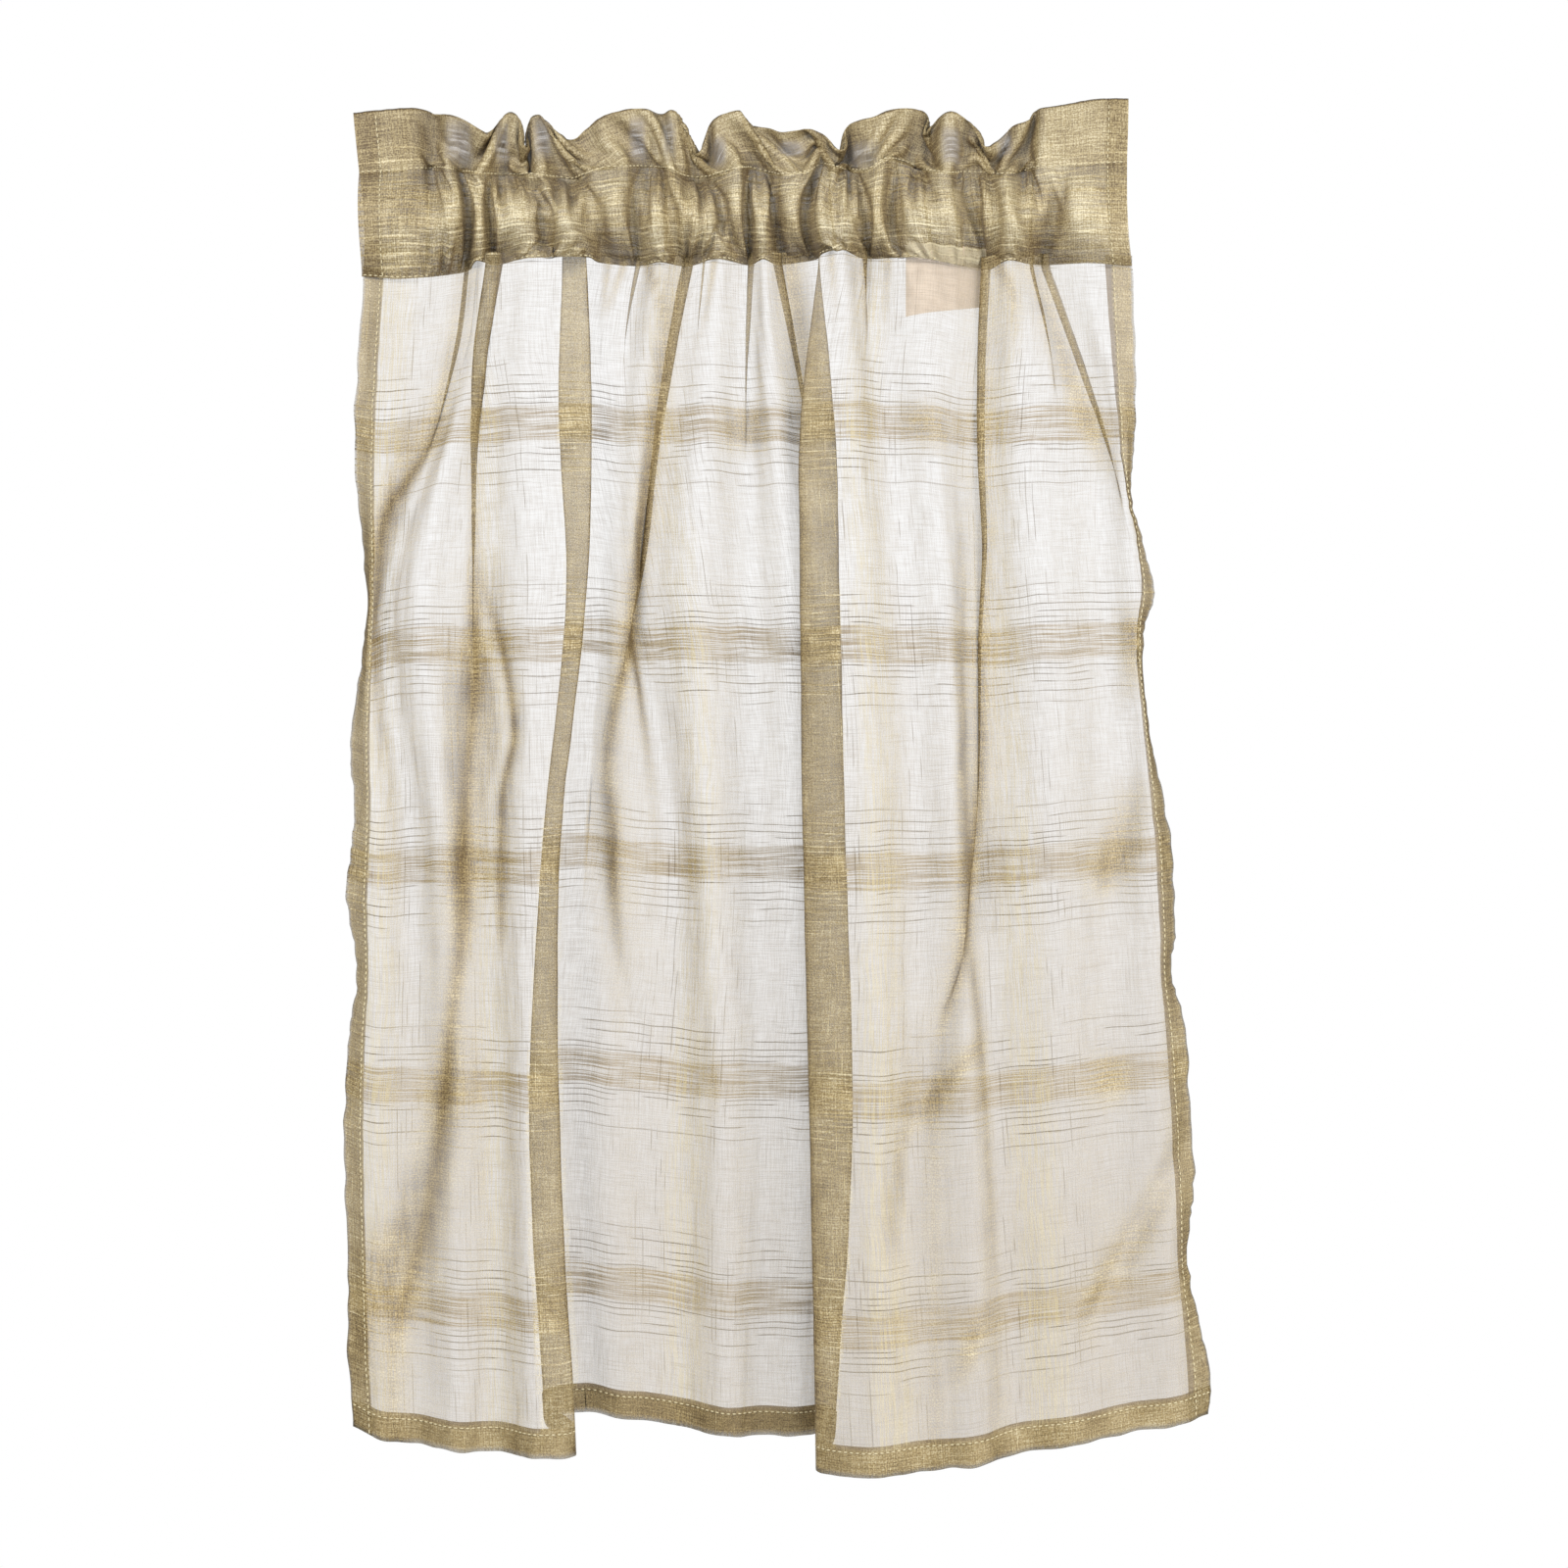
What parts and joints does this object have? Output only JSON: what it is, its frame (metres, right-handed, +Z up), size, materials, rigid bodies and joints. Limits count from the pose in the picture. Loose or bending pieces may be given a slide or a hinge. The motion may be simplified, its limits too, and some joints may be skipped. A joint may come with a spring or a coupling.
{
  "type": "gathered sheer half curtain, window valance",
  "caption": "Gathered sheer plaid half curtain for a window, with a ruffled top, an empty rod pocket, deep vertical folds and turned hems.",
  "frame": {"origin": "middle of the ruffle's top edge, on the plane through the middle of the rod pocket", "axes": "+Z up, +X to the right as seen from the room, and -Y towards the room"},
  "size_m": [0.5782, 0.0635, 0.9131],
  "materials": {
    "sheer_cloth": "sheer open weave with a woven check",
    "doubled_cloth": "two plies of the sheer cloth",
    "tag_tape": "smooth blank tape"
  },
  "bodies": {
    "root": {"heading": "doubled_cloth", "panel": "sheer_cloth", "label": "tag_tape"}
  },
  "joints": []
}
